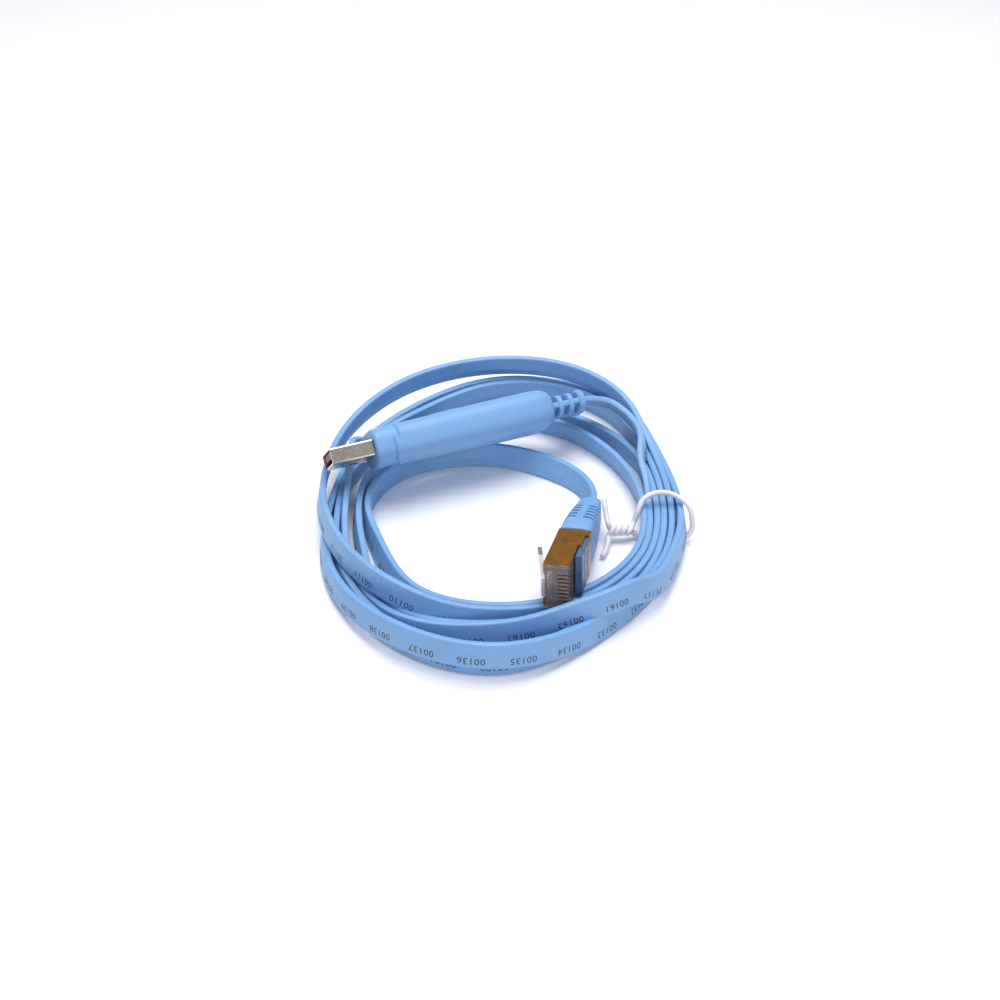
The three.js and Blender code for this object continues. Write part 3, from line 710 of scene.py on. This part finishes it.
def wire_tube(points, radius, sides=14, spacing=0.35):
    rows = spline([(*p, 0.0) for p in points], spacing)[:, :3]
    tangents = np.gradient(rows, axis=0)
    tangents /= np.linalg.norm(tangents, axis=1)[:, None]
    normal = np.cross(tangents[0], (0.3, 0.5, 0.8))
    vertices = []
    for place, tangent in zip(rows, tangents):
        normal = normal - tangent * np.dot(normal, tangent)
        normal /= np.linalg.norm(normal)
        other = np.cross(tangent, normal)
        for k in range(sides):
            a = 2 * pi * k / sides
            vertices.append(Vector(place + radius * (normal * cos(a) + other * sin(a))))
    return vertices, tube_faces(len(rows), sides)


# The wire's middle, from the twist over the turns, down outside them and back beneath
TIE_LOOP = [(36.9, -9.6, 4.4), (38.0, -8.4, 7.2), (39.2, -6.4, 9.6), (42.0, -5.0, 11.0), (45.7, -4.8, 11.3),
            (49.3, -6.8, 11.1), (51.9, -9.4, 9.6), (52.6, -11.0, 7.0), (52.5, -12.2, 4.0), (50.4, -12.4, 1.5),
            (46.0, -11.4, 0.85), (41.0, -10.5, 0.85), (38.2, -11.0, 1.4)]
TWIST_FROM = Vector((35.6, -11.2, 3.5))
TWIST_TO = Vector((31.2, -11.6, 3.6))
TWIST_TURNS = 1.35
TWIST_REACH = 0.95
TIE_RADIUS = 0.75
UPPER_TAIL = [(30.2, -11.4, 5.0), (29.6, -9.6, 6.6), (29.2, -7.6, 8.2), (28.9, -5.4, 9.6)]
LOWER_TAIL = [(30.2, -12.6, 2.8), (29.8, -14.6, 2.1), (29.2, -16.8, 1.5), (28.0, -19.6, 1.2)]


def make_tie():
    """One wire: a free end, half the twist, the loop round the cord, the rest of the twist and a free end."""
    first, second = [], []
    steps = 13
    for i in range(steps):
        share = i / (steps - 1)
        middle = TWIST_FROM.lerp(TWIST_TO, share)
        phase = 2 * pi * TWIST_TURNS * share
        first.append(middle + Vector((0, -cos(phase), -sin(phase))) * TWIST_REACH)
        second.append(middle + Vector((0, cos(phase), sin(phase))) * TWIST_REACH)
    route = list(reversed(UPPER_TAIL)) + list(reversed(first)) + TIE_LOOP + second + LOWER_TAIL
    wire = [tuple(p) for p in route]
    piece = add_piece("wire_tie", *wire_tube(wire, TIE_RADIUS), TIE, 60)
    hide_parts("twist_tie")
    return piece


# The CAD nodes that keep their shapes

WIRE_COLOURS = [(196, 40, 34), (34, 52, 140), (186, 34, 30), (44, 132, 66), (214, 198, 70), (70, 54, 190),
                (140, 50, 110), (220, 210, 200)]


def dress(node, material):
    piece = bpy.data.objects[node]
    if not piece.material_slots:
        piece.data.materials.append(material)
    for material_slot in piece.material_slots:
        material_slot.material = material


def dress_nodes():
    gold = contact_look()
    dress("usb_shell", plate_look())
    dress("usb_tongue", coloured_plastic("tongue_plastic", srgb(120, 62, 44), srgb(84, 36, 26)))
    dress("rj45_shield", shield_look())
    dress("rj45_housing", clear_look())
    dress("rj45_insert", coloured_plastic("insert_plastic", srgb(82, 112, 146), srgb(52, 74, 102), 0.32))
    for i in range(1, 5):
        dress(f"usb_contact_{i}", gold)
    for i, colour in enumerate(WIRE_COLOURS, 1):
        dress(f"rj45_contact_{i}", gold)
        darker = tuple(c * 0.7 for c in colour)
        dress(f"rj45_wire_{i}", coloured_plastic(f"wire_{i}", srgb(*colour), srgb(*darker), 0.35))


cable = make_cable()
marks = make_marks()
grip = make_grip()
boot = make_boot()
tie = make_tie()
dress_nodes()


# Floor and lights

def make_floor():
    mesh = bpy.data.meshes.new("floor")
    mesh.from_pydata([(-2, -2, 0), (2, -2, 0), (2, 2, 0), (-2, 2, 0)], [], [(0, 1, 2, 3)])
    floor = bpy.data.objects.new("floor", mesh)
    bpy.context.scene.collection.objects.link(floor)
    look = Look("floor", srgb(250, 250, 252), 0.6)
    look.rough(look.noise(30), 0.55, 0.65)
    mesh.materials.append(look.material)


def area_light(name, place, size, power, colour=(1, 1, 1)):
    data = bpy.data.lights.new(name, "AREA")
    data.shape = "DISK"
    data.size = size
    data.energy = power
    data.color = colour
    light = bpy.data.objects.new(name, data)
    light.location = place
    light.rotation_euler = Vector(place).to_track_quat("Z", "Y").to_euler()
    bpy.context.scene.collection.objects.link(light)


def make_lights():
    world = bpy.data.worlds.new("studio")
    world.use_nodes = True
    background = world.node_tree.nodes["Background"]
    background.inputs["Color"].default_value = (0.82, 0.84, 1.0, 1)
    background.inputs["Strength"].default_value = 0.36
    bpy.context.scene.world = world
    area_light("overhead", (0.0, 0.15, 0.95), 0.85, 10.5)
    area_light("front_fill", (0.1, -0.9, 0.5), 0.7, 2.6, (0.95, 0.97, 1.0))
    bpy.context.scene.view_settings.view_transform = "Standard"


make_floor()
make_lights()
